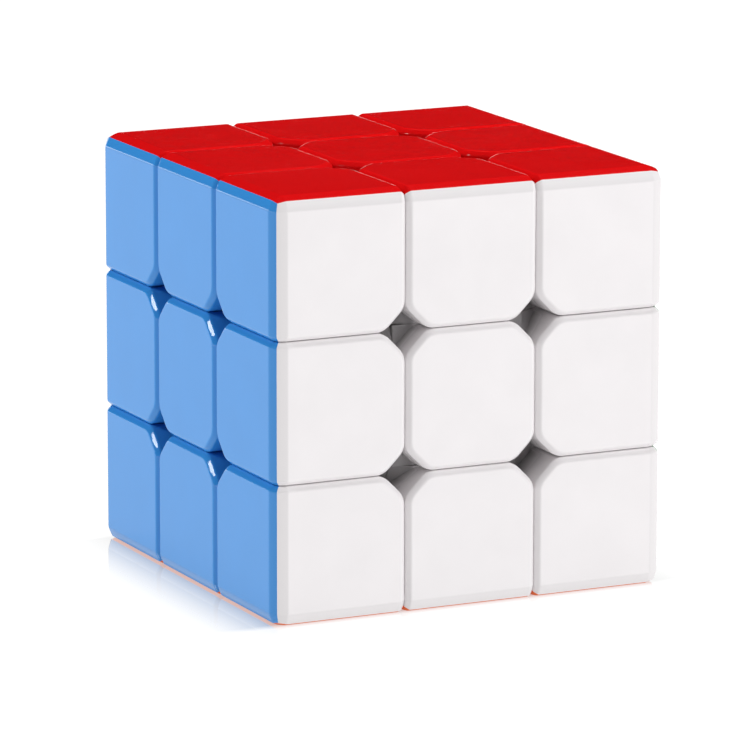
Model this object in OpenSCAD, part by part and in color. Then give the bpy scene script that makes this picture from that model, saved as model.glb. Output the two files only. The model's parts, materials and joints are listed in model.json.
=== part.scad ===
// Twisty puzzle cube, three layers a side, with its whole turning mechanism.
// The origin is the middle of the core, where the three turning axes cross.
// Front is -Y, right is +X and top is +Z. All sizes are in millimetres.

/* [Cube] */
// Side of the whole cube, face to face
cube_side = 56; // [52:0.5:60]
// Gap between two pieces that turn past each other
gap = 0.25; // [0.15:0.05:0.35]

/* [Tiles] */
// Leg of the chamfer where four tiles meet
notch_leg = 3.3; // [2:0.1:3.6]
// Rounding along the outer edges of the cube
edge_round = 1.4; // [0.6:0.1:2]
// Wall of a coloured cap
cap_wall = 1.3; // [1:0.1:1.8]
// Depth of a centre cap, face to rim
centre_cap_depth = 5; // [4:0.5:6]

/* [Feet] */
// Radius of the ball on which the outer blocks ride, as a share of the cube's side
ball_share = 0.375; // [0.365:0.005:0.385]
// Thickness of the feet that hook under the neighbours
foot_thickness = 6.5; // [5.5:0.5:7]
// Half the width of an edge piece's foot
foot_half_width = 5.2; // [5:0.1:5.6]
// Thickness of the plate under the coloured caps
plate_thickness = 2.2; // [1.8:0.1:2.6]
// Wall of the cup inside the coloured caps
cup_wall = 1; // [0.8:0.1:1.4]

/* [Core] */
// Radius of the hub
hub_r = 6.5; // [6:0.1:7]
// Radius of an arm
arm_r = 4; // [3.5:0.1:4.5]
// Distance from the middle to the end of an arm
arm_reach = 12.5; // [12:0.1:12.8]

/* [Tension] */
// Radius of a screw's shank
shank_r = 1.3; // [1.2:0.05:1.5]
// Radius of a screw's head
head_r = 2.5; // [2.3:0.1:2.8]
// Height of a screw's head
head_height = 2; // [1.6:0.1:2.2]
// Radius of the middle of a spring's wire
coil_r = 2.35; // [2.2:0.05:2.5]
// Thickness of a spring's wire
wire_d = 0.55; // [0.4:0.05:0.6]
// Turns in a spring
coil_turns = 4; // [3:1:5]

/* [Hidden] */
$fn = 64;
half = cube_side / 2;
cut = cube_side / 6;            // plane between two layers, from the middle
side = cut - gap / 2;           // half width of a centre tile
near = cut + gap / 2;           // inner side of an outer layer
foot_side = foot_half_width - gap / 2;
foot_near = foot_half_width + gap / 2;
ball_r = cube_side * ball_share;
ball_out = ball_r + gap / 2;    // underside of the outer blocks
ball_in = ball_r - gap / 2;     // upper side of the feet
feet_in = ball_r - foot_thickness;
plate_r = ball_r + plate_thickness;
cup_r = half + 2;               // the cups end on this ball, clear of the caps' tops
slack = 1;                      // how far a cutting solid runs past what it cuts
fit = 0.02;                     // radial play of a screw in its bore

stem_r = foot_side;             // stem of a centre piece
stem_start = arm_reach + gap;
stem_floor = 2;
well_r = stem_r - 1.7;          // room for the spring inside the stem
screw_hole_r = shank_r + 0.08;
washer_thickness = 0.5;
spring_start = stem_start + stem_floor;
spring_length = 6;
washer_start = spring_start + spring_length;
head_start = washer_start + washer_thickness;
screw_start = 4;                // tip of the screw inside the core
recess_r = 0.9;
recess_depth = 1.2;
cap_start = half - centre_cap_depth;
lip_height = 1.6;               // the centre cap's lip fits inside the centre base
coil_points = 12;               // points in one turn of a spring
wire_points = 5;                // points round a spring's wire

// Every face as its name, its direction and its colour
FACES = [
    ["top", [0, 0, 1], "red"],
    ["bottom", [0, 0, -1], "darkorange"],
    ["front", [0, -1, 0], "white"],
    ["back", [0, 1, 0], "gold"],
    ["left", [-1, 0, 0], "cornflowerblue"],
    ["right", [1, 0, 0], "limegreen"]
];
TOP = FACES[0];
BOTTOM = FACES[1];
SIDES = [FACES[2], FACES[3], FACES[4], FACES[5]];
CORNER_SIDES = [
    [FACES[2], FACES[4]],
    [FACES[2], FACES[5]],
    [FACES[3], FACES[4]],
    [FACES[3], FACES[5]]
];
INSIDE_COLOUR = "dimgray";
METAL_COLOUR = "silver";

// The two faces beside a side face
function beside(face) = [for (s = SIDES) if (s[1] * face[1] == 0) s];

// ---- Placing: children made along +X, +Y and +Z are turned onto three other axes ----

module on_axes(x_to, y_to, z_to) {
    multmatrix([
        [x_to.x, y_to.x, z_to.x, 0],
        [x_to.y, y_to.y, z_to.y, 0],
        [x_to.z, y_to.z, z_to.z, 0],
        [0, 0, 0, 1]
    ]) children();
}

// Two directions square to an axis, for pieces that are alike on both
function across(axis) = [axis.y, axis.z, axis.x];
module along(axis) {
    on_axes(across(axis), cross(axis, across(axis)), axis) children();
}

// ---- Outlines of the blocks, seen along one axis ----

// A right triangle that cuts the corner at the origin towards +X +Y
module corner_cut(leg) {
    polygon([[-slack, -slack], [leg + slack, -slack], [-slack, leg + slack]]);
}

// An outer corner block: rounded at the cube's edge, chamfered at the notch.
// inset shrinks it all round, for the hollow inside.
module corner_outline(inset = 0) {
    low = near + inset;
    high = half - inset;
    r = edge_round;
    leg = notch_leg - inset * (2 - sqrt(2));
    difference() {
        union() {
            translate([low, low]) square([high - low, high - r - low]);
            translate([low, low]) square([high - r - low, high - low]);
            translate([high - r, high - r]) circle(r);
        }
        translate([low, low]) corner_cut(leg);
    }
}

// The outer side of an edge block, with a chamfer at each notch
module edge_outline(inset = 0) {
    low = near + inset;
    wide = side - inset;
    leg = notch_leg - inset * (2 - sqrt(2));
    difference() {
        translate([-wide, low]) square([2 * wide, half - inset - low]);
        for (flip = [-1, 1]) scale([flip, 1]) translate([-wide, low]) corner_cut(leg);
    }
}

module centre_outline(inset = 0) {
    wide = side - inset;
    leg = notch_leg - inset * (2 - sqrt(2));
    difference() {
        square(2 * wide, center = true);
        for (turn = [0:90:270]) rotate(turn) translate([-wide, -wide]) corner_cut(leg);
    }
}

// ---- Blocks: the space of a whole corner, edge or centre piece outside the ball ----

module corner_block(inset = 0) {
    intersection() {
        linear_extrude(half - inset) corner_outline(inset);
        on_axes([0, 1, 0], [0, 0, 1], [1, 0, 0]) linear_extrude(half - inset) corner_outline(inset);
        on_axes([0, 0, 1], [1, 0, 0], [0, 1, 0]) linear_extrude(half - inset) corner_outline(inset);
    }
}

// The edge block lies across X, between +Y and +Z
module edge_block(inset = 0) {
    intersection() {
        on_axes([0, 1, 0], [0, 0, 1], [1, 0, 0])
            translate([0, 0, -cube_side / 2]) linear_extrude(cube_side) edge_end_outline(inset);
        linear_extrude(half) edge_outline(inset);
        on_axes([1, 0, 0], [0, 0, 1], [0, 1, 0]) linear_extrude(half) edge_outline(inset);
    }
}

// The edge block seen from its end
module edge_end_outline(inset) {
    low = near + inset;
    high = half - inset;
    r = edge_round;
    translate([low, low]) square([high - low, high - r - low]);
    translate([low, low]) square([high - r - low, high - low]);
    translate([high - r, high - r]) circle(r);
}

// ---- Wedges: the share of a block that one coloured cap takes ----

// The space above the planes z = x and z = y
module corner_wedge() {
    polyhedron(
        [[0, 0, 0], [2 * half, 0, 2 * half], [2 * half, 2 * half, 2 * half],
         [0, 2 * half, 2 * half], [0, 0, 2 * half]],
        [[0, 1, 2], [0, 2, 3], [0, 4, 1], [0, 3, 4], [4, 3, 2, 1]]
    );
}

// The space above the plane z = y
module edge_wedge() {
    on_axes([0, 1, 0], [0, 0, 1], [1, 0, 0]) translate([0, 0, -half])
        linear_extrude(2 * half) polygon([[0, 0], [2 * half, 2 * half], [0, 2 * half]]);
}

// ---- Coloured caps ----

module corner_cap(facing, first, second, colour) {
    color(colour) on_axes(first, second, facing) difference() {
        intersection() {
            corner_block();
            corner_wedge();
        }
        corner_block(cap_wall);
        sphere(plate_r);
    }
}

module edge_cap(facing, other, colour) {
    color(colour) on_axes(cross(other, facing), other, facing) difference() {
        intersection() {
            edge_block();
            edge_wedge();
        }
        edge_block(cap_wall);
        sphere(plate_r);
    }
}

module centre_cap(face) {
    color(face[2]) along(face[1]) difference() {
        union() {
            translate([0, 0, cap_start]) linear_extrude(centre_cap_depth) centre_outline();
            translate([0, 0, cap_start - lip_height]) linear_extrude(lip_height)
                centre_outline(cap_wall);
        }
        translate([0, 0, cap_start - lip_height - slack])
            linear_extrude(lip_height + slack + centre_cap_depth - cap_wall)
            centre_outline(cap_wall + cup_wall);
    }
}

// The coloured caps on the corners of the top or bottom face
module corner_caps(end) {
    for (c = CORNER_SIDES) corner_cap(end[1], c[0][1], c[1][1], end[2]);
}

// The coloured caps on the edges of the top or bottom face
module edge_caps(end) {
    for (s = SIDES) edge_cap(end[1], s[1], end[2]);
}

// The three caps of a side face in its top or bottom row
module row_caps(end, face) {
    edge_cap(face[1], end[1], face[2]);
    for (b = beside(face)) corner_cap(face[1], end[1], b[1], face[2]);
}

// The two edge caps of a side face in its middle row
module middle_row_caps(face) {
    for (b = beside(face)) edge_cap(face[1], b[1], face[2]);
}

// ---- Feet: what holds the caps and hooks under the neighbouring pieces ----

// A cup inside the caps, open outwards
module corner_cup() {
    difference() {
        intersection() {
            corner_block(cap_wall);
            sphere(cup_r);
        }
        corner_block(cap_wall + cup_wall);
    }
}

module edge_cup() {
    difference() {
        intersection() {
            edge_block(cap_wall);
            sphere(cup_r);
        }
        edge_block(cap_wall + cup_wall);
    }
}

module corner_foot(faces) {
    color(INSIDE_COLOUR) on_axes(faces[0][1], faces[1][1], faces[2][1]) difference() {
        union() {
            intersection() {
                translate([foot_near, foot_near, foot_near]) cube(half);
                sphere(ball_in);
            }
            intersection() {
                corner_block();
                sphere(plate_r);
            }
            corner_cup();
        }
        sphere(feet_in + gap / 2);
    }
}

// The part of an edge piece's foot between the corner feet on both sides of it
module edge_foot_space(width, low) {
    translate([-width, low, low]) cube([2 * width, half, half]);
}

module edge_foot(facing, other) {
    color(INSIDE_COLOUR) on_axes(cross(other, facing), other, facing) difference() {
        union() {
            intersection() {
                edge_foot_space(foot_side, foot_near);
                sphere(ball_in);
            }
            intersection() {
                edge_foot_space(foot_side, near);
                sphere(plate_r);
            }
            difference() {
                union() {
                    intersection() {
                        edge_block();
                        sphere(plate_r);
                    }
                    edge_cup();
                }
                sphere(ball_out);
            }
        }
        sphere(feet_in + gap / 2);
    }
}

module centre_base(face) {
    color(face[2]) along(face[1]) difference() {
        union() {
            difference() {
                linear_extrude(cap_start) centre_outline();
                sphere(ball_out);
                translate([0, 0, cap_start - lip_height])
                    linear_extrude(lip_height + slack) centre_outline(cap_wall);
            }
            translate([0, 0, stem_start]) cylinder(r = stem_r, h = cap_start - lip_height - stem_start);
        }
        translate([0, 0, stem_start - slack]) cylinder(r = screw_hole_r, h = stem_floor + 2 * slack);
        translate([0, 0, spring_start]) cylinder(r = well_r, h = half);
    }
}

// ---- Core and tension parts ----

module core() {
    color(INSIDE_COLOUR) difference() {
        union() {
            sphere(hub_r);
            for (f = FACES) along(f[1]) cylinder(r = arm_r, h = arm_reach);
        }
        for (f = FACES) along(f[1]) translate([0, 0, screw_start])
            cylinder(r = shank_r + fit, h = arm_reach);
    }
}

module tension_screw() {
    difference() {
        union() {
            translate([0, 0, screw_start]) cylinder(r = shank_r, h = head_start - screw_start);
            translate([0, 0, head_start]) cylinder(r = head_r, h = head_height);
        }
        for (turn = [0, 90]) rotate(turn)
            translate([-recess_r * 2, -recess_r / 2, head_start + head_height - recess_depth])
            cube([recess_r * 4, recess_r, head_height]);
    }
}

module tension_screws() {
    color(METAL_COLOUR) for (f = FACES) along(f[1]) tension_screw();
}

module screw_washers() {
    color(METAL_COLOUR) for (f = FACES) along(f[1]) translate([0, 0, washer_start]) difference() {
        cylinder(r = coil_r + wire_d, h = washer_thickness);
        translate([0, 0, -slack]) cylinder(r = shank_r + fit, h = washer_thickness + 2 * slack);
    }
}

// A wire swept along a helix, clear of the stem's floor and of the washer
module spring(face) {
    last = coil_turns * coil_points;
    ends = wire_d / 2 + fit;
    rise = (spring_length - 2 * ends) / last;
    points = [
        for (i = [0:last]) for (j = [0:wire_points - 1])
            let (around = 360 * i / coil_points, tilt = 360 * j / wire_points)
            let (out = coil_r + wire_d / 2 * cos(tilt))
            [out * cos(around), out * sin(around),
             spring_start + ends + rise * i + wire_d / 2 * sin(tilt)]
    ];
    walls = [
        for (i = [0:last - 1]) for (j = [0:wire_points - 1])
            let (next = (j + 1) % wire_points, low = i * wire_points)
            [low + j, low + next, low + next + wire_points, low + j + wire_points]
    ];
    caps = [
        [for (j = [wire_points - 1:-1:0]) j],
        [for (j = [0:wire_points - 1]) last * wire_points + j]
    ];
    color(METAL_COLOUR) along(face[1]) polyhedron(points, concat(walls, caps));
}

// ---- Drawing ----

core();
tension_screws();
screw_washers();
for (f = FACES) {
    spring(f);
    centre_base(f);
    centre_cap(f);
}
for (c = CORNER_SIDES) {
    edge_foot(c[0][1], c[1][1]);
}
for (e = [TOP, BOTTOM]) {
    corner_caps(e);
    edge_caps(e);
    for (s = SIDES) {
        edge_foot(e[1], s[1]);
        row_caps(e, s);
    }
    for (c = CORNER_SIDES) {
        corner_foot([c[0], c[1], e]);
    }
}
for (s = SIDES) {
    middle_row_caps(s);
}
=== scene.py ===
"""Looks for the twisty puzzle cube: its shells, feet, core, springs and screws, a pale floor and soft light.

Everything is in metres in the frame of the CAD model, with the middle of the core at the origin.
"""

import json
import math

import bmesh
import bpy
from mathutils import Matrix, Vector


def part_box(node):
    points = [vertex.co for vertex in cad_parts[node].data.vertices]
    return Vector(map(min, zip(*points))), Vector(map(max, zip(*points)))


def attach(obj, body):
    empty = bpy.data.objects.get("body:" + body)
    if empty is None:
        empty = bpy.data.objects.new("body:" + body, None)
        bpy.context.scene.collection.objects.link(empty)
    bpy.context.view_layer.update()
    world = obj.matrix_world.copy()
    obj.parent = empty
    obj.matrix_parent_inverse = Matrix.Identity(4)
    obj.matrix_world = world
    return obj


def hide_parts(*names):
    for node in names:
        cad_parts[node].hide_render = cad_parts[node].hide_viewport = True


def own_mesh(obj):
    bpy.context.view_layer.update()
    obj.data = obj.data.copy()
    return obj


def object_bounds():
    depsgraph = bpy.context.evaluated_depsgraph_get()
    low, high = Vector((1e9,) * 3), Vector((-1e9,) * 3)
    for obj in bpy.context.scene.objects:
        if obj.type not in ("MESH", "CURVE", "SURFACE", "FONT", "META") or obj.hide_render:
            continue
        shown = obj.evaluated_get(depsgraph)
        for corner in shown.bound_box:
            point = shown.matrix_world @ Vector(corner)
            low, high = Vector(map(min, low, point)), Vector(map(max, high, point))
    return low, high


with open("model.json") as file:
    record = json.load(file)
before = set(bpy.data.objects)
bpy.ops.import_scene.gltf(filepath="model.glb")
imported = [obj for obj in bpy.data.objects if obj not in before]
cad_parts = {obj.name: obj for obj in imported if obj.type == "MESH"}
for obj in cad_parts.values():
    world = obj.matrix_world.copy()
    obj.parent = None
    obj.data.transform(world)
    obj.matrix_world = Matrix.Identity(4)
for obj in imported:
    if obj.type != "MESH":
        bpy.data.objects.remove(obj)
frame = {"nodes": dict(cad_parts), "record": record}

cad_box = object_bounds()

# ---- Sizes: the large ones from the frame, the small ones in millimetres ----

MM = 0.001
HALF = cad_box[1].z                                # the cube's face, from the middle
SNUG = 0.085 * MM                                  # each cap is this much fuller than its CAD node
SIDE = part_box("centre_cap_top")[1].x + SNUG        # half width of a centre tile
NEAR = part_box("top_row_caps_front")[0].z - SNUG    # inner side of an outer layer
BALL = 2 * HALF * 0.375                            # ball on which the corner and edge pieces ride
PLATE = 2.2 * MM                                   # thickness of the plates between that ball and the caps
PLATE_BALL = BALL + PLATE                          # the coloured caps start outside this ball
CAP_WALL = 1.3 * MM
LIP = 1.6 * MM                                     # how far a centre cap reaches into its base
LIP_WALL = 1.0 * MM
WEB = 3.6 * MM                                     # thickness of the floor each cap has in its notch
CENTRE_WEB = 0.5 * MM                              # the same for a centre cap
NOTCH = 3.0 * MM                                   # leg of the chamfer where four tiles meet
NOTCH_ROUND = 2.7 * MM                             # how that chamfer runs into the straight sides
TILE_BEVEL = 0.62 * MM                             # bevel round each tile
TILE_SOFT = 0.5 * MM                               # small rounding at both ends of that bevel
TILE_RIM = TILE_BEVEL + TILE_SOFT * math.tan(math.pi / 8)
EDGE_ROUND = 1.9 * MM                              # bevel along the cube's outer edges
EDGE_SOFT = 0.12 * MM                              # small rounding where that bevel starts
CORE = HALF - EDGE_ROUND                           # where that bevel starts
FLAT = CORE - EDGE_SOFT
FACET = math.pi / 8                                # tilt of the outer bevel
CROWN = 0.35                                       # 0 is a flat bevel and 1 a full round
LEAST_REACH = 0.1 * MM                             # a cap's inner side is bent round at least this radius
RIM_SCUFF_AND_SHADE = 0.5                                     # share of scuffs and painted shade on the bevel round a tile; an outer bevel has 1
NOTCH_SHADE_EDGE = 0.4 * MM                               # where a notch cuts in this far it has its full painted shade

SOFT_STEPS = 3                                     # steps in a small rounding
ARC_STEPS = 6                                      # steps in a notch's rounding
WALL_STEPS = 4                                     # places along a side wall
MERGE = 0.002 * MM                                 # points closer than this are one point
BEND_SHARES = (0.08, 0.2, 0.5, 0.8, 0.93, 1.0)     # places across an outer bevel, closer at its ends
SHARP = math.radians(32)                           # an edge sharper than this stays a hard edge

DIRECTION = {
    "top": Vector((0, 0, 1)),
    "bottom": Vector((0, 0, -1)),
    "front": Vector((0, -1, 0)),
    "back": Vector((0, 1, 0)),
    "left": Vector((-1, 0, 0)),
    "right": Vector((1, 0, 0)),
}
COLOUR = {
    "top": "red",
    "bottom": "orange",
    "front": "white",
    "back": "yellow",
    "left": "blue",
    "right": "green",
}
SIDES = ("front", "back", "left", "right")
ENDS = ("top", "bottom")

# Plastic colours, in linear light
PAINT = {
    "red": (0.61, 0.004, 0.005),
    "orange": (0.87, 0.16, 0.025),
    "white": (0.90, 0.87, 0.88),
    "yellow": (0.80, 0.55, 0.015),
    "blue": (0.042, 0.275, 0.70),
    "green": (0.01, 0.33, 0.07),
}


# ---- Materials ----

class Nodes:
    """A material's node tree with short calls for adding and joining nodes."""

    def __init__(self, name):
        self.material = bpy.data.materials.new(name)
        self.material.use_nodes = True
        self.tree = self.material.node_tree
        self.surface = self.tree.nodes["Principled BSDF"]
        coordinates = self.tree.nodes.new("ShaderNodeTexCoord")
        self.place = coordinates.outputs["Object"]

    def add(self, kind, **settings):
        node = self.tree.nodes.new(kind)
        for key, value in settings.items():
            setattr(node, key, value)
        return node

    def join(self, source, target):
        self.tree.links.new(source, target)

    def noise(self, scale, detail=2.0, roughness=0.5):
        """Noise with a given number of lumps in a metre."""
        node = self.add("ShaderNodeTexNoise")
        node.inputs["Scale"].default_value = scale
        node.inputs["Detail"].default_value = detail
        node.inputs["Roughness"].default_value = roughness
        self.join(self.place, node.inputs["Vector"])
        return node.outputs["Fac"]

    def spread(self, value, low, high, start=0.3, end=0.7):
        """A value that runs from start to end, stretched so that it runs from low to high."""
        node = self.add("ShaderNodeMapRange")
        node.inputs["From Min"].default_value = start
        node.inputs["From Max"].default_value = end
        node.inputs["To Min"].default_value = low
        node.inputs["To Max"].default_value = high
        self.join(value, node.inputs["Value"])
        return node.outputs["Result"]

    def maths(self, operation, first, second):
        node = self.add("ShaderNodeMath", operation=operation)
        for value, socket in ((first, node.inputs[0]), (second, node.inputs[1])):
            if isinstance(value, float):
                socket.default_value = value
            else:
                self.join(value, socket)
        return node.outputs["Value"]

    def blend(self, share, first, second):
        """Two colours, plain or from another node, mixed by a share."""
        node = self.add("ShaderNodeMix", data_type="RGBA")
        for colour, socket in ((first, node.inputs["A"]), (second, node.inputs["B"])):
            if isinstance(colour, tuple):
                socket.default_value = (*colour, 1)
            else:
                self.join(colour, socket)
        self.join(share, node.inputs["Factor"])
        return node.outputs["Result"]

    def bump(self, height, distance, strength, below=None):
        node = self.add("ShaderNodeBump")
        node.inputs["Distance"].default_value = distance
        node.inputs["Strength"].default_value = strength
        self.join(height, node.inputs["Height"])
        if below:
            self.join(below, node.inputs["Normal"])
        return node.outputs["Normal"]


def shade(colour, by):
    """A colour made lighter or darker."""
    return tuple(min(1.0, c * by) for c in colour)


MOTTLING = 0.015                                   # share by which a plastic's colour varies
PAINTED_BEVEL_SHADE = 0.90                                  # bevels are painted with this share of a face's colour, as painted shade
PAINTED_NOTCH_SHADE = 0.60                                  # notch floors are painted darker still, as painted shade in the recesses
PAINTED_WHITE_NOTCH_SHADE = 0.42                            # and darker still on white, with more painted shade
NOTCH_SHADE_FADE = 2.0                                    # power by which the painted notch shade fades up a notch's walls
DUST_ROUGHNESS = 0.6
SCUFF_ROUGHNESS = 0.10
GLOSS_ROUGHNESS = (0.07, 0.10)                     # from clean to smeared
SATIN_ROUGHNESS = (0.28, 0.46)
METAL_ROUGHNESS = (0.22, 0.38)
SCUFF_SPREAD = (0.52, 0.75)                        # stretch of the noise over which scuffs come in
INNER_TONES = (0.85, 1.2)                          # darkest and lightest share of the colour
METAL_TONES = (0.86, 1.08)
PLASTIC_IOR = 1.5
GLOSS = 0.4
FOOT_GLOSS = 0.1                                   # for the orange underside, which mirrors the white floor

# Lumps in a metre: clouds in the colour, smears and scuffs in the gloss, waves and grain in the surface
CLOUDS = 140
SMEARS = 90
SCUFFS = 2600
WAVES = 110
FINE_GRAIN = 5200
INNER_CLOUDS = 220
INNER_SMEARS = 160
INNER_GRAIN = 9000
DRAWING_MARKS = 1400

# Height of the lumps in the surface
WAVE_HEIGHT = 0.02 * MM
FINE_HEIGHT = 0.004 * MM
GRAIN_HEIGHT = 0.01 * MM


def gloss_plastic(name, colour):
    """Moulded gloss plastic: slight mottling, a faint waviness, scuffed bevels with painted shade, and
    notches darkened with painted shade and made rougher.
    """
    n = Nodes(name)
    cloud = n.spread(n.noise(CLOUDS, 3), 0, 1)
    body = n.blend(cloud, shade(colour, 1 - MOTTLING), shade(colour, 1 + MOTTLING))
    scuff_and_shade = n.add("ShaderNodeAttribute", attribute_name="edge").outputs["Fac"]
    # The edge share paints the bevels darker, as painted shade, and also brings in the scuffs in the
    # roughness below.
    bevel_shaded = n.blend(scuff_and_shade, body, shade(colour, PAINTED_BEVEL_SHADE))
    deep = n.maths("POWER", n.add("ShaderNodeAttribute", attribute_name="deep").outputs["Fac"], NOTCH_SHADE_FADE)
    # Notch floors are painted darker by the deep share, as painted shade in the recesses.
    notch_shade = shade(colour, PAINTED_WHITE_NOTCH_SHADE if colour == PAINT["white"] else PAINTED_NOTCH_SHADE)
    n.join(n.blend(deep, bevel_shaded, notch_shade), n.surface.inputs["Base Color"])
    scuffs = n.spread(n.noise(SCUFFS, 4, 0.7), 0, 1, *SCUFF_SPREAD)
    dull = n.maths("MULTIPLY", n.maths("MULTIPLY", scuff_and_shade, scuffs), SCUFF_ROUGHNESS)
    smears = n.spread(n.noise(SMEARS, 4, 0.6), *GLOSS_ROUGHNESS)
    dull = n.maths("ADD", dull, n.maths("MULTIPLY", deep, DUST_ROUGHNESS))
    n.join(n.maths("ADD", smears, dull), n.surface.inputs["Roughness"])
    waves = n.bump(n.noise(WAVES, 1), WAVE_HEIGHT, 0.15)
    n.join(n.bump(n.noise(FINE_GRAIN, 3, 0.6), FINE_HEIGHT, 0.25, waves), n.surface.inputs["Normal"])
    n.surface.inputs["IOR"].default_value = PLASTIC_IOR
    n.surface.inputs["Specular IOR Level"].default_value = FOOT_GLOSS if colour == PAINT["orange"] else GLOSS
    return n.material


def satin_plastic(name, colour):
    """The dark slippery plastic inside, with a fine moulded grain and patches of lubricant."""
    n = Nodes(name)
    cloud = n.spread(n.noise(INNER_CLOUDS, 3), 0, 1)
    n.join(n.blend(cloud, *(shade(colour, by) for by in INNER_TONES)), n.surface.inputs["Base Color"])
    n.join(n.spread(n.noise(INNER_SMEARS, 4, 0.65), *SATIN_ROUGHNESS), n.surface.inputs["Roughness"])
    n.join(n.bump(n.noise(INNER_GRAIN, 2), GRAIN_HEIGHT, 0.35), n.surface.inputs["Normal"])
    n.surface.inputs["IOR"].default_value = PLASTIC_IOR
    return n.material


def plain_metal(name, colour):
    """Plated steel with fine marks from drawing and handling."""
    n = Nodes(name)
    marks = n.noise(DRAWING_MARKS, 4)
    tone = n.blend(n.spread(marks, 0, 1), *(shade(colour, by) for by in METAL_TONES))
    n.join(tone, n.surface.inputs["Base Color"])
    n.join(n.spread(marks, *METAL_ROUGHNESS), n.surface.inputs["Roughness"])
    n.join(n.bump(marks, GRAIN_HEIGHT, 0.3), n.surface.inputs["Normal"])
    n.surface.inputs["Metallic"].default_value = 1.0
    return n.material


PLASTIC = {name: gloss_plastic("gloss_" + name, colour) for name, colour in PAINT.items()}
INNER = satin_plastic("satin_inner", (0.03, 0.03, 0.033))
STEEL = plain_metal("plated_steel", (0.60, 0.60, 0.61))
WIRE = plain_metal("spring_wire", (0.55, 0.55, 0.56))


# ---- Outlines of the tiles, seen from outside, each the same point for point at every inset ----

def rounded(points, radii, closed=False):
    """The points with an arc of ARC_STEPS in place of each one that has a radius."""
    line = []
    count = len(points)
    for i, (point, radius) in enumerate(zip(points, radii)):
        if radius is None:
            line.append(point)
            continue
        before = (points[i - 1] - point).normalized()
        after = (points[(i + 1) % count] - point).normalized()
        half_angle = before.angle(after) / 2
        middle = point + (before + after).normalized() * (radius / math.sin(half_angle))
        start = point + before * (radius / math.tan(half_angle)) - middle
        end = point + after * (radius / math.tan(half_angle)) - middle
        sweep = start.angle_signed(end)
        for step in range(ARC_STEPS + 1):
            line.append(middle + Matrix.Rotation(-sweep * step / ARC_STEPS, 2) @ start)
    return line


def notch_leg(inset):
    return NOTCH - inset * (2 - math.sqrt(2))


def bends():
    """The places across an outer edge's bevel, from its start to the colour seam."""
    return [FLAT] + [CORE + EDGE_ROUND * math.pi / 4 * share for share in BEND_SHARES]


def wall_places(across, start):
    """Places along a side wall from the notch outwards, with one where the ball meets the colour seam."""
    seam = math.sqrt((PLATE_BALL ** 2 - across ** 2) / 2)
    return [start + (seam - start) * step / WALL_STEPS for step in range(1, WALL_STEPS + 1)]


def corner_outline(inset):
    low = NEAR + inset
    leg = notch_leg(inset)
    outwards = wall_places(low, low + leg + NOTCH_ROUND / 2) + bends()
    side = [Vector((low, place)) for place in reversed(outwards)]
    front = [Vector((place, low)) for place in outwards]
    notch = [Vector((low, low + leg)), Vector((low + leg / 2, low + leg / 2)), Vector((low + leg, low))]
    bend = NOTCH_ROUND - inset
    radii = [None] * len(side) + [bend, None, bend] + [None] * len(front)
    return rounded(side + notch + front, radii)


def edge_outline(inset):
    low = NEAR + inset
    wide = SIDE - inset
    leg = notch_leg(inset)
    outwards = wall_places(wide, low + leg + NOTCH_ROUND / 2) + bends()
    left = [Vector((-wide, place)) for place in reversed(outwards)]
    right = [Vector((wide, place)) for place in outwards]
    half = leg / 2
    notches = [Vector((-wide, low + leg)), Vector((half - wide, low + half)), Vector((leg - wide, low))]
    notches += [Vector((-p.x, p.y)) for p in reversed(notches)]
    bend = NOTCH_ROUND - inset
    radii = [None] * len(left) + [bend, None, bend] * 2 + [None] * len(right)
    return rounded(left + notches + right, radii)


def centre_outline(inset):
    wide = SIDE - inset
    leg = notch_leg(inset)
    middle = leg / 2 - wide
    notch = [Vector((-wide, leg - wide)), Vector((middle, middle)), Vector((leg - wide, -wide))]
    points = []
    for quarter in range(4):
        turn = Matrix.Rotation(math.pi / 2 * quarter, 2)
        points += [turn @ p for p in notch]
    bend = NOTCH_ROUND - inset
    return rounded(points, [bend, None, bend] * 4, closed=True)


# ---- Shells ----

def bent(place, depth):
    """A point of the outer skin, bevelled towards the colour seams, at a depth below it."""
    angles = [max(0.0, value - CORE) / EDGE_ROUND for value in place]
    reach = max(EDGE_ROUND - depth, LEAST_REACH)
    for angle in angles:
        facet = math.cos(FACET) / math.cos(angle - FACET)
        reach *= facet + (1 - facet) * CROWN
    start = Vector((min(place[0], CORE), min(place[1], CORE), CORE))
    return start + Vector((math.tan(angles[0]), math.tan(angles[1]), 1)).normalized() * reach


def foot_of_wall(place):
    """Where a wall ends straight below a point of the outline: on the ball or on the colour seam."""
    x, y, _ = place
    ball = math.sqrt(max(0.0, PLATE_BALL ** 2 - x * x - y * y))
    return Vector((x, y, max(x, y, ball)))


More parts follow.
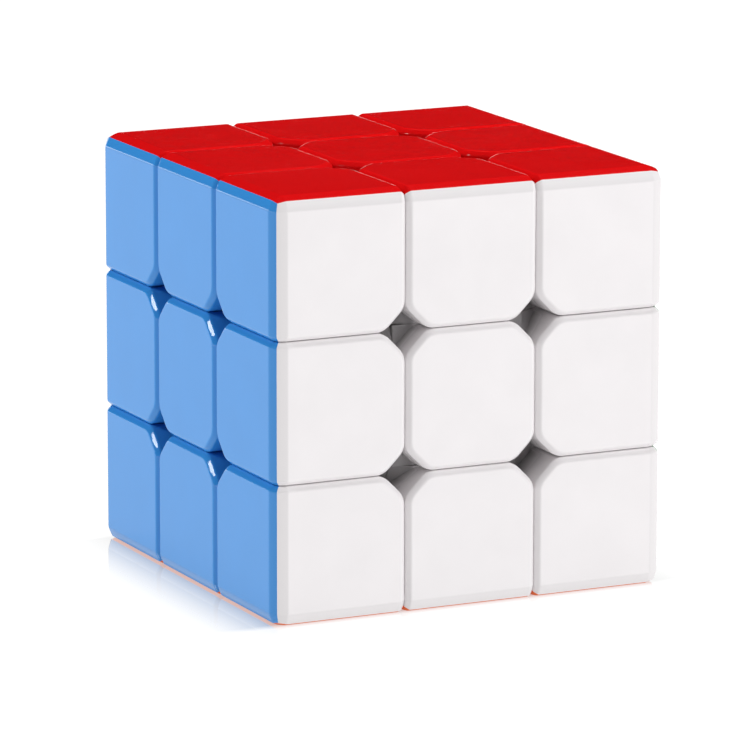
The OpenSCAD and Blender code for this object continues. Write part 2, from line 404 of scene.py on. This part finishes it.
class Shell:
    """A mesh put together from faces given by their points, each with its shares of edge scuffs with painted
    bevel shade, and of painted notch shade.
    """

    def __init__(self):
        self.mesh = bmesh.new()
        self.edge = self.mesh.verts.layers.float.new("edge")
        self.deep = self.mesh.verts.layers.float.new("deep")

    def face(self, points, scuff_and_shade=None, notch_shade=None):
        corners = []
        for i, point in enumerate(points):
            corner = self.mesh.verts.new(point)
            corner[self.edge] = scuff_and_shade[i] if scuff_and_shade else 0.0
            corner[self.deep] = notch_shade[i] if notch_shade else 0.0
            corners.append(corner)
        self.mesh.faces.new(corners)

    def strip(self, first, second, scuff_and_shade=None, notch_shade=None, closed=False):
        """Quads between two lines of points, each of which can have its lists of edge wear and dust."""

        def corners(pair, i, j):
            return [pair[0][i], pair[0][j], pair[1][j], pair[1][i]] if pair else None

        count = len(first)
        for i in range(count if closed else count - 1):
            j = (i + 1) % count
            self.face(corners((first, second), i, j), corners(scuff_and_shade, i, j), corners(notch_shade, i, j))

    def finish(self, name):
        bmesh.ops.remove_doubles(self.mesh, verts=self.mesh.verts, dist=MERGE)
        bmesh.ops.dissolve_degenerate(self.mesh, edges=self.mesh.edges, dist=MERGE)
        bmesh.ops.recalc_face_normals(self.mesh, faces=self.mesh.faces)
        data = bpy.data.meshes.new(name)
        self.mesh.to_mesh(data)
        self.mesh.free()
        return data


def rim_steps():
    """Each step round a tile's bevelled rim: how far in from the wall, how deep, and its share of scuffs and
    painted shade.
    """
    steps = []
    for first, middle in ((0, (TILE_SOFT, TILE_RIM)), (SOFT_STEPS, (TILE_RIM, TILE_SOFT))):
        for step in range(first, first + SOFT_STEPS + 1):
            angle = math.pi / 4 * step / SOFT_STEPS
            inset = middle[0] - TILE_SOFT * math.cos(angle)
            depth = middle[1] - TILE_SOFT * math.sin(angle)
            steps.append((inset, depth, RIM_SCUFF_AND_SHADE * math.sin(2 * angle)))
    return steps


def on_bevel(place):
    """1 on the bevel along a colour seam and 0 on the flat face."""
    return 1.0 if max(place[0], place[1]) > FLAT + MERGE else 0.0


def skin(shell, outline, depth, sides):
    """The outer face at a depth: flat inside the outline, and bevelled on each side with a seam."""

    def patch(places):
        shell.face([bent(p, depth) for p in places], [on_bevel(p) for p in places])

    places = bends()
    flat = [p for p in outline if max(p) <= FLAT + MERGE]
    if sides == 2:
        flat.append(Vector((FLAT, FLAT)))
    patch(flat)
    low = min(outline[0][0], outline[-1][0])
    high = FLAT if sides == 2 else max(outline[0][0], outline[-1][0])
    for start, end in zip(places, places[1:]):
        patch([(low, start), (high, start), (high, end), (low, end)])
        if sides == 2:
            patch([(start, low), (start, high), (end, high), (end, low)])
            for a, b in zip(places, places[1:]):
                patch([(start, a), (end, a), (end, b), (start, b)])


def seam_places(outline, sides):
    """The skin's places along the far colour seam, from its first side to its last."""
    seam = bends()[-1]
    first = outline[0][0]
    if sides == 1:
        return [(first, seam), (outline[-1][0], seam)]
    return [(first, seam)] + [(place, seam) for place in bends()]


def rim_over_seam(shell, outline_at, sides, swap):
    """The flat rim of a shell on a colour seam, from one wall's rounding to the next seam or wall."""
    outer = []
    for inset, depth, _ in rim_steps():
        outer.append(bent(outline_at(inset)[0], depth))
    outer += [bent(p, 0.0) for p in seam_places(outline_at(TILE_RIM), sides)[1:]]
    inner = [bent(p, CAP_WALL) for p in seam_places(outline_at(CAP_WALL), sides)]
    if sides == 1:
        outer.pop()
        for inset, depth, _ in reversed(rim_steps()):
            outer.append(bent(outline_at(inset)[-1], depth))
    points = outer + inner[::-1]
    if swap:
        points = [Vector((p.y, p.x, p.z)) for p in points]
    shell.face(points)


def above_web(place):
    """The point of a wall where the floor of the notch meets it."""
    foot = foot_of_wall(place)
    on_ball = foot.z > max(foot.x, foot.y) + MERGE
    return foot + Vector((0, 0, WEB if on_ball else 0.0))


def squared(ring, sides):
    """The points of a wall with the notches filled out to full corners."""
    low = min(p.y for p in ring)
    filled = []
    for p in ring:
        side = low if sides == 2 else math.copysign(SIDE, p.x)
        end = math.copysign(SIDE, p.y) if sides == 0 else low
        across, along = abs(p.x - side), abs(p.y - end)
        x = side if across < along + MERGE else p.x
        y = end if along < across + MERGE else p.y
        filled.append(Vector((x, y, p.z)))
    return filled


def notch_shade_share(ring, sides):
    """The painted notch shade at each point along the foot of a wall: 1 well inside a notch and 0 on a
    straight side.
    """
    return [min(1.0, (p - q).length / NOTCH_SHADE_EDGE) for p, q in zip(ring, squared(ring, sides))]


def outer_cap(name, outline_at, sides):
    """A corner cap (two colour seams) or an edge cap (one), facing +Z."""
    shell = Shell()
    rings = []
    scuff_and_shade = []
    for inset, depth, step_scuff_and_shade in rim_steps():
        places = outline_at(inset)
        rings.append([bent(p, depth) for p in places])
        scuff_and_shade.append([max(step_scuff_and_shade, on_bevel(p)) for p in places])
    for i in range(len(rings) - 1):
        shell.strip(rings[i], rings[i + 1], (scuff_and_shade[i], scuff_and_shade[i + 1]))
    skin(shell, outline_at(TILE_RIM), 0.0, sides)
    filled = squared(rings[0], sides)
    ledge = [above_web(p) for p in rings[0]]
    floor_edge = [above_web(p) for p in filled]
    outer_foot = [foot_of_wall(p) for p in filled]
    # Share of painted notch shade along the foot of each wall.
    notch_shade = notch_shade_share(rings[0], sides)
    shell.strip(rings[0], ledge, (scuff_and_shade[0], [0.0] * len(ledge)), ([0.0] * len(ledge), notch_shade))
    shell.strip(ledge, floor_edge, notch_shade=(notch_shade, notch_shade))
    shell.strip(floor_edge, outer_foot, notch_shade=(notch_shade, notch_shade))
    inner_top = [bent(p, CAP_WALL) for p in outline_at(CAP_WALL)]
    inner_foot = [foot_of_wall(p) for p in inner_top]
    skin(shell, outline_at(CAP_WALL), CAP_WALL, sides)
    shell.strip(inner_top, inner_foot)
    shell.strip(outer_foot, inner_foot)
    rim_over_seam(shell, outline_at, sides, swap=False)
    if sides == 2:
        rim_over_seam(shell, outline_at, sides, swap=True)
    return shell.finish(name)


def centre_cap(name):
    """A centre piece's square cap, facing +Z, with notch floors and the lip that sits in its base."""
    shell = Shell()
    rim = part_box("centre_cap_top")[0].z + LIP
    rings = []
    scuff_and_shade = []
    notch_shade = []

    def ring(inset, height, step_scuff_and_shade=0.0, filled=False):
        line = [Vector((*p, height)) for p in centre_outline(inset)]
        rings.append(squared(line, 0) if filled else line)
        scuff_and_shade.append([step_scuff_and_shade] * len(line))
        notch_shade.append(notch_shade_share(line, 0) if height <= rim + CENTRE_WEB else [0.0] * len(line))

    for inset, depth, step_scuff_and_shade in reversed(rim_steps()):
        ring(inset, HALF - depth, step_scuff_and_shade)
    ring(0.0, rim + CENTRE_WEB)
    ring(0.0, rim + CENTRE_WEB, filled=True)
    ring(0.0, rim, filled=True)
    ring(CAP_WALL, rim)
    ring(CAP_WALL, rim - LIP)
    ring(CAP_WALL + LIP_WALL, rim - LIP)
    ring(CAP_WALL + LIP_WALL, HALF - CAP_WALL)
    for i in range(len(rings) - 1):
        shell.strip(rings[i], rings[i + 1], (scuff_and_shade[i], scuff_and_shade[i + 1]), (notch_shade[i], notch_shade[i + 1]), closed=True)
    shell.face(rings[0])
    shell.face(rings[-1])
    return shell.finish(name)


def facing(x_to, y_to, z_to):
    """The turn that takes +X, +Y and +Z to three other directions, without mirroring."""
    if x_to.cross(y_to).dot(z_to) < 0:
        x_to, y_to = y_to, x_to
    return Matrix((x_to, y_to, z_to)).transposed().to_4x4()


def place_piece(name, data, turn, material, body, slot, *nodes):
    """A turned copy of a mesh, as one piece with its material and body, in place of the CAD nodes that it
    hides.
    """
    data = data.copy()
    data.transform(turn)
    data.name = name
    data.materials.append(material)
    data.shade_smooth()
    data.set_sharp_from_angle(angle=SHARP)
    piece = bpy.data.objects.new(name, data)
    bpy.context.scene.collection.objects.link(piece)
    weighted = piece.modifiers.new("even_normals", "WEIGHTED_NORMAL")
    weighted.keep_sharp = True
    weighted.weight = 100
    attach(piece, body)
    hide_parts(*nodes)
    return piece


def beside(face):
    return [s for s in SIDES if abs(DIRECTION[s].dot(DIRECTION[face])) < 0.5]


def make_caps():
    corner = outer_cap("corner_cap", corner_outline, 2)
    edge = outer_cap("edge_cap", edge_outline, 1)
    centre = centre_cap("centre_cap")

    def cap(data, node, body, face, *others):
        colour = COLOUR[face]
        name = "_".join(("cap", colour, *others))
        toward = [DIRECTION[o] for o in others]
        if len(toward) == 1:
            toward.insert(0, toward[0].cross(DIRECTION[face]))
        if not toward:
            toward = [DIRECTION[face].yzx, DIRECTION[face].cross(DIRECTION[face].yzx)]
        turn = facing(*toward, DIRECTION[face])
        place_piece(name, data, turn, PLASTIC[colour], body, colour, node)

    for face in DIRECTION:
        cap(centre, "centre_cap_" + face, face + "_centre", face)
    for face in SIDES:
        for other in beside(face):
            cap(edge, "middle_row_caps_" + face, "core", face, other)
    for end in ENDS:
        layer = end + "_layer"
        for face in SIDES:
            cap(edge, end + "_edge_caps", layer, end, face)
            cap(edge, f"{end}_row_caps_{face}", layer, face, end)
            for other in beside(face):
                cap(corner, f"{end}_row_caps_{face}", layer, face, end, other)
        for face in ("front", "back"):
            for other in ("left", "right"):
                cap(corner, end + "_corner_caps", layer, end, face, other)
    for data in (corner, edge, centre):
        bpy.data.meshes.remove(data)


make_caps()


# ---- Screws and springs ----

WASHER_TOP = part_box("screw_washers")[1].z
HEAD_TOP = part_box("tension_screws")[1].z
HEAD_RADIUS = 2.5 * MM
HEAD_EDGE = 0.35 * MM                              # rounding of a screw's head
HEAD_UNDER = 0.1 * MM                              # small bevel under the head
TIP = 4.0 * MM                                     # where a screw ends inside the core
TIP_CONE = 0.45 * MM                               # how much thinner the screw is at its tip
TIP_PITCHES = 2                                    # pitches over which it reaches its full width
START_PITCHES = 1.5                                # pitches over which the thread reaches its full depth
SHANK = 1.3 * MM
THREAD_DEPTH = 0.22 * MM
THREAD_PITCH = 0.8 * MM
THREAD_CREST = 1.6                                 # the thread's wave is cut off by this, so crests are flat
THREAD_END = 14.0 * MM                             # the shank above is plain, so that a centre turns on it
THREAD_STEPS = 8                                   # rings in one pitch
RECESS_WIDTH = 0.9 * MM
RECESS_REACH = 1.6 * MM
RECESS_DEPTH = 1.2 * MM
RECESS_TAPER = (0.55, 1.3)                         # share of its width at the bottom and above the head
TURN_POINTS = 32                                   # points round a screw
SPRING_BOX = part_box("spring_top")
WIRE_RADIUS = 0.275 * MM
COIL_RADIUS = SPRING_BOX[1].x - WIRE_RADIUS
COIL_TURNS = 5.5
END_TURNS = 0.75                                   # turns at each end that lie flat
COIL_POINTS = 28                                   # rings in one turn of a spring
WIRE_POINTS = 12                                   # points round its wire


def circle(height, radius_at, count=TURN_POINTS):
    """A ring round the Z axis. radius_at gives the radius for a share of a full turn."""
    ring = []
    for i in range(count):
        angle = 2 * math.pi * i / count
        radius = radius_at(i / count)
        ring.append(Vector((radius * math.cos(angle), radius * math.sin(angle), height)))
    return ring


def stack(shell, rings):
    """A closed solid from rings, one above the other."""
    for first, second in zip(rings, rings[1:]):
        shell.strip(first, second, closed=True)
    shell.face(rings[0])
    shell.face(rings[-1])


def thread(height):
    """The thread's radius at a height, with a cone at the tip and a run-out at the end."""
    run = (height - TIP) / THREAD_PITCH
    fade = min(1.0, (THREAD_END - height) / THREAD_PITCH, run / START_PITCHES)
    root = SHANK - THREAD_DEPTH - TIP_CONE * max(0.0, 1 - run / TIP_PITCHES)

    def radius(turn):
        wave = abs(2 * ((height / THREAD_PITCH - turn) % 1.0) - 1)
        crest = min(1.0, THREAD_CREST * wave)
        return root + THREAD_DEPTH * crest * max(0.0, fade)

    return radius


def recess_cutter():
    """A tapered cross that cuts the recess in a screw's head."""
    shell = Shell()
    corners = []
    for quarter in range(4):
        turn = Matrix.Rotation(math.pi / 2 * quarter, 2)
        width = RECESS_WIDTH / 2
        corners += [turn @ Vector((width, width)), turn @ Vector((width, RECESS_REACH))]
        corners.append(turn @ Vector((-width, RECESS_REACH)))
    rings = []
    for height, share in zip((HEAD_TOP - RECESS_DEPTH, HEAD_TOP + MM), RECESS_TAPER):
        rings.append([Vector((p.x * share, p.y * share, height)) for p in corners])
    stack(shell, rings)
    return bpy.data.objects.new("cutter", shell.finish("cutter"))


def screw_mesh():
    rings = []
    steps = round((THREAD_END - TIP) / THREAD_PITCH * THREAD_STEPS)
    for step in range(steps + 1):
        height = TIP + (THREAD_END - TIP) * step / steps
        rings.append(circle(height, thread(height)))
    for height, radius in ((THREAD_END + THREAD_PITCH, SHANK), (WASHER_TOP, SHANK)):
        rings.append(circle(height, lambda turn, r=radius: r))
    rim = [(WASHER_TOP, HEAD_RADIUS - HEAD_UNDER), (WASHER_TOP + HEAD_UNDER, HEAD_RADIUS)]
    for step in range(SOFT_STEPS * 2 + 1):
        angle = math.pi / 2 * step / (SOFT_STEPS * 2)
        radius = HEAD_RADIUS - HEAD_EDGE * (1 - math.cos(angle))
        rim.append((HEAD_TOP - HEAD_EDGE * (1 - math.sin(angle)), radius))
    for height, radius in rim:
        rings.append(circle(height, lambda turn, r=radius: r))
    shell = Shell()
    stack(shell, rings)
    blank = bpy.data.objects.new("blank", shell.finish("blank"))
    cutter = recess_cutter()
    for piece in (blank, cutter):
        bpy.context.scene.collection.objects.link(piece)
    cut = blank.modifiers.new("recess", "BOOLEAN")
    cut.operation = "DIFFERENCE"
    cut.solver = "EXACT"
    cut.object = cutter
    finished = blank.evaluated_get(bpy.context.evaluated_depsgraph_get())
    data = bpy.data.meshes.new_from_object(finished)
    for piece in (blank, cutter):
        bpy.data.objects.remove(piece)
    return data


def coil_height(turns):
    """The wire's middle after some turns: close-wound at both ends and evenly open between them."""
    low = SPRING_BOX[0].z + WIRE_RADIUS
    high = SPRING_BOX[1].z - WIRE_RADIUS
    closed = END_TURNS * 2 * WIRE_RADIUS
    if turns < END_TURNS:
        return low + closed * turns / END_TURNS
    if turns > COIL_TURNS - END_TURNS:
        return high - closed * (COIL_TURNS - turns) / END_TURNS
    share = (turns - END_TURNS) / (COIL_TURNS - 2 * END_TURNS)
    return low + closed + (high - low - 2 * closed) * share


def spring_mesh():
    rings = []
    steps = round(COIL_TURNS * COIL_POINTS)
    for step in range(steps + 1):
        turns = COIL_TURNS * step / steps
        angle = 2 * math.pi * turns
        out = Vector((math.cos(angle), math.sin(angle), 0))
        middle = out * COIL_RADIUS + Vector((0, 0, coil_height(turns)))
        ring = []
        for point in range(WIRE_POINTS):
            tilt = 2 * math.pi * point / WIRE_POINTS
            across = out * math.cos(tilt) + Vector((0, 0, math.sin(tilt)))
            ring.append(middle + across * WIRE_RADIUS)
        rings.append(ring)
    shell = Shell()
    stack(shell, rings)
    return shell.finish("spring")


def make_screws_and_springs():
    screw = screw_mesh()
    spring = spring_mesh()
    for face, out in DIRECTION.items():
        turn = facing(out.yzx, out.cross(out.yzx), out)
        place_piece("screw_" + face, screw, turn, STEEL, "core", "steel", "tension_screws")
        coil = place_piece("coil_" + face, spring, turn, WIRE, "core", "spring", "spring_" + face)
        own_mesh(coil)
    for data in (screw, spring):
        bpy.data.meshes.remove(data)


make_screws_and_springs()


# ---- CAD nodes that stay ----

MOULDED_EDGE = 0.15 * MM                           # rounding of the edges of the CAD pieces
MOULDED_SHARP = math.radians(40)                   # edges sharper than this get it


def dress(node, material):
    """Gives a CAD node its material and softens its moulded edges."""
    piece = frame["nodes"][node]
    piece.data.materials.clear()
    piece.data.materials.append(material)
    weld = piece.modifiers.new("joined", "WELD")
    weld.merge_threshold = MERGE
    soft = piece.modifiers.new("soft_edges", "BEVEL")
    soft.width = MOULDED_EDGE
    soft.segments = 2
    soft.limit_method = "ANGLE"
    soft.angle_limit = MOULDED_SHARP
    weighted = piece.modifiers.new("even_normals", "WEIGHTED_NORMAL")
    weighted.weight = 100


for entry in frame["record"]["subparts"]:
    node = entry["node"]
    if node == "core" or "_foot_" in node:
        dress(node, INNER)
    elif node == "screw_washers":
        dress(node, STEEL)
    elif node.startswith("centre_base"):
        dress(node, PLASTIC[entry["material_slot"]])


# ---- Floor, light and camera ----

FLOOR_REACH = 6.0                                  # half the floor's width
FLOOR_RISE = 0.3 * MM                              # hides part of the lowest bevel, which mirrors as a band
FLOOR_TINT = 0.05                                  # how much of the lamps' light it gives back
FLOOR_GLOW = 1.04                                  # its own brightness
SHINE = 0.60                                       # share of the floor that mirrors the cube at its foot
SHINE_AHEAD = 0.25                                 # how much of that is left in front of the cube and behind
SHINE_REACH = 11 * MM                              # how far from the cube it fades out
SHINE_FADE = 1.7                                   # and by which power
BACKDROP = 1.0                                     # brightness of the white behind the cube
AMBIENT = 0.15                                     # brightness of the light all round
ROOM = 0.004                                       # brightness of the dark room seen in gloss
HORIZON = 3.5                                      # brightness of the room's horizon
HORIZON_TOP = 2.0                                  # degrees above the floor
HORIZON_BLUR = 1.5                                 # degrees over which the horizon turns dark
WHITE = (1, 1, 1, 1)

# Each lamp's azimuth (0 in front and -90 to the left), elevation, size in metres and power in watts
FRONT_RIGHT = (38, 32, 0.6, 5.95)
OVERHEAD = (140, 62, 0.8, 12.0)
LEFT_BACK = (-135, 15, 0.5, 3.7)
LEFT_KEY = (-92, 40, 0.22, 2.8)
LAMP_DISTANCE = 1.0

VIEW_AZIMUTH = -25.65
VIEW_ELEVATION = 12.07
VIEW_DISTANCE = 0.7666
VIEW_RIGHT = -0.56 * MM                            # shift of the camera in its own view
VIEW_UP = -2.64 * MM
VIEW_ROLL = math.radians(0.09)
SENSOR = 36                                        # millimetres
LENS = 276.3                                       # millimetres too


def make_floor():
    """A pale floor that glows a little, with a clear shine that fades away from the cube's foot."""
    data = bpy.data.meshes.new("floor")
    corners = [(-FLOOR_REACH, -FLOOR_REACH), (FLOOR_REACH, -FLOOR_REACH)]
    corners += [(-x, -y) for x, y in corners]
    data.from_pydata([(x, y, FLOOR_RISE - HALF) for x, y in corners], [], [(0, 1, 2, 3)])
    floor = bpy.data.objects.new("floor", data)
    bpy.context.scene.collection.objects.link(floor)
    n = Nodes("floor")
    n.surface.inputs["Base Color"].default_value = (FLOOR_TINT, FLOOR_TINT, FLOOR_TINT, 1)
    n.surface.inputs["Roughness"].default_value = 1
    n.surface.inputs["Specular IOR Level"].default_value = 0
    n.surface.inputs["Emission Color"].default_value = WHITE
    n.surface.inputs["Emission Strength"].default_value = FLOOR_GLOW
    split = n.add("ShaderNodeSeparateXYZ")
    n.join(n.place, split.inputs["Vector"])
    beyond = []
    for axis in ("X", "Y"):
        out = n.maths("SUBTRACT", n.maths("ABSOLUTE", split.outputs[axis], 0.0), HALF)
        beyond.append(n.maths("POWER", n.maths("MAXIMUM", out, 0.0), 2.0))
    distance = n.maths("SQRT", n.maths("ADD", *beyond), 0.0)
    fade = n.maths("POWER", n.spread(distance, 1.0, 0.0, 0.0, SHINE_REACH), SHINE_FADE)
    ahead = n.maths("ABSOLUTE", split.outputs["Y"], 0.0)
    fade = n.maths("MULTIPLY", fade, n.spread(ahead, 1.0, SHINE_AHEAD, CORE, HALF))
    shine = n.add("ShaderNodeBsdfGlossy")
    shine.inputs["Roughness"].default_value = 0
    layer = n.add("ShaderNodeMixShader")
    n.join(n.maths("MULTIPLY", fade, SHINE), layer.inputs["Fac"])
    n.join(n.surface.outputs["BSDF"], layer.inputs[1])
    n.join(shine.outputs["BSDF"], layer.inputs[2])
    n.join(layer.outputs["Shader"], n.tree.nodes["Material Output"].inputs["Surface"])
    data.materials.append(n.material)


def softbox(name, azimuth, elevation, size, power, mirrored=True):
    """A square area light aimed at the cube, which the cube's gloss mirrors or not."""
    data = bpy.data.lights.new(name, "AREA")
    data.shape = "SQUARE"
    data.size = size
    data.energy = power
    lamp = bpy.data.objects.new(name, data)
    lamp.matrix_world = orbit(azimuth, elevation, LAMP_DISTANCE)
    lamp.visible_glossy = mirrored
    bpy.context.scene.collection.objects.link(lamp)


def orbit(azimuth, elevation, distance, right=0.0, up=0.0, roll=0.0):
    """A place on a ball round the cube, looking in, moved sideways and up in its own view."""
    a, e = math.radians(azimuth), math.radians(elevation)
    back = Vector((math.sin(a) * math.cos(e), -math.cos(a) * math.cos(e), math.sin(e)))
    turn = (-back).to_track_quat("-Z", "Y").to_matrix().to_4x4()
    turn = turn @ Matrix.Rotation(roll, 4, "Z")
    start = back * distance + turn.to_3x3() @ Vector((right, up, 0))
    return Matrix.Translation(start) @ turn


def make_world():
    """White behind the cube, soft light all round, and a dark room with a bright horizon in the gloss.

    Rays that have already left a matt surface, and the clear shine of the floor, see the white instead.
    """
    world = bpy.data.worlds.new("studio")
    bpy.context.scene.world = world
    world.cycles.sampling_method = "NONE"
    world.use_nodes = True
    tree = world.node_tree
    background = tree.nodes["Background"]
    ray = tree.nodes.new("ShaderNodeLightPath")
    coordinates = tree.nodes.new("ShaderNodeTexCoord")
    split = tree.nodes.new("ShaderNodeSeparateXYZ")
    tree.links.new(coordinates.outputs["Generated"], split.inputs["Vector"])
    room = tree.nodes.new("ShaderNodeValToRGB")
    tree.links.new(split.outputs["Z"], room.inputs["Fac"])
    stops = [(0.0, HORIZON), (math.sin(math.radians(HORIZON_TOP)), HORIZON)]
    stops += [(math.sin(math.radians(HORIZON_TOP + HORIZON_BLUR)), ROOM), (1.0, ROOM)]
    while len(room.color_ramp.elements) < len(stops):
        room.color_ramp.elements.new(0.5)
    for element, (place, value) in zip(room.color_ramp.elements, stops):
        element.position = place
        element.color = (value, value, value, 1)

    def choose(share, otherwise, chosen):
        mix = tree.nodes.new("ShaderNodeMix")
        tree.links.new(share, mix.inputs["Factor"])
        for socket, value in ((mix.inputs["A"], otherwise), (mix.inputs["B"], chosen)):
            if isinstance(value, float):
                socket.default_value = value
            else:
                tree.links.new(value, socket)
        return mix.outputs["Result"]

    seen = choose(ray.outputs["Diffuse Depth"], room.outputs["Color"], BACKDROP)
    glossy = choose(ray.outputs["Is Glossy Ray"], AMBIENT, seen)
    mirror = choose(ray.outputs["Is Singular Ray"], glossy, BACKDROP)
    tree.links.new(choose(ray.outputs["Is Camera Ray"], mirror, BACKDROP), background.inputs["Strength"])
    background.inputs["Color"].default_value = WHITE


def make_camera():
    data = bpy.data.cameras.new("camera")
    data.sensor_width = SENSOR
    data.lens = LENS
    data.clip_start = 0.01
    data.clip_end = 50
    camera = bpy.data.objects.new("camera", data)
    camera.matrix_world = orbit(VIEW_AZIMUTH, VIEW_ELEVATION, VIEW_DISTANCE, VIEW_RIGHT, VIEW_UP, VIEW_ROLL)
    bpy.context.scene.collection.objects.link(camera)
    bpy.context.scene.camera = camera


make_floor()
make_world()
softbox("front_right", *FRONT_RIGHT, mirrored=False)
softbox("overhead", *OVERHEAD, mirrored=False)
softbox("left_back", *LEFT_BACK, mirrored=False)
softbox("left_key", *LEFT_KEY)
make_camera()
bpy.context.scene.view_settings.view_transform = "Standard"
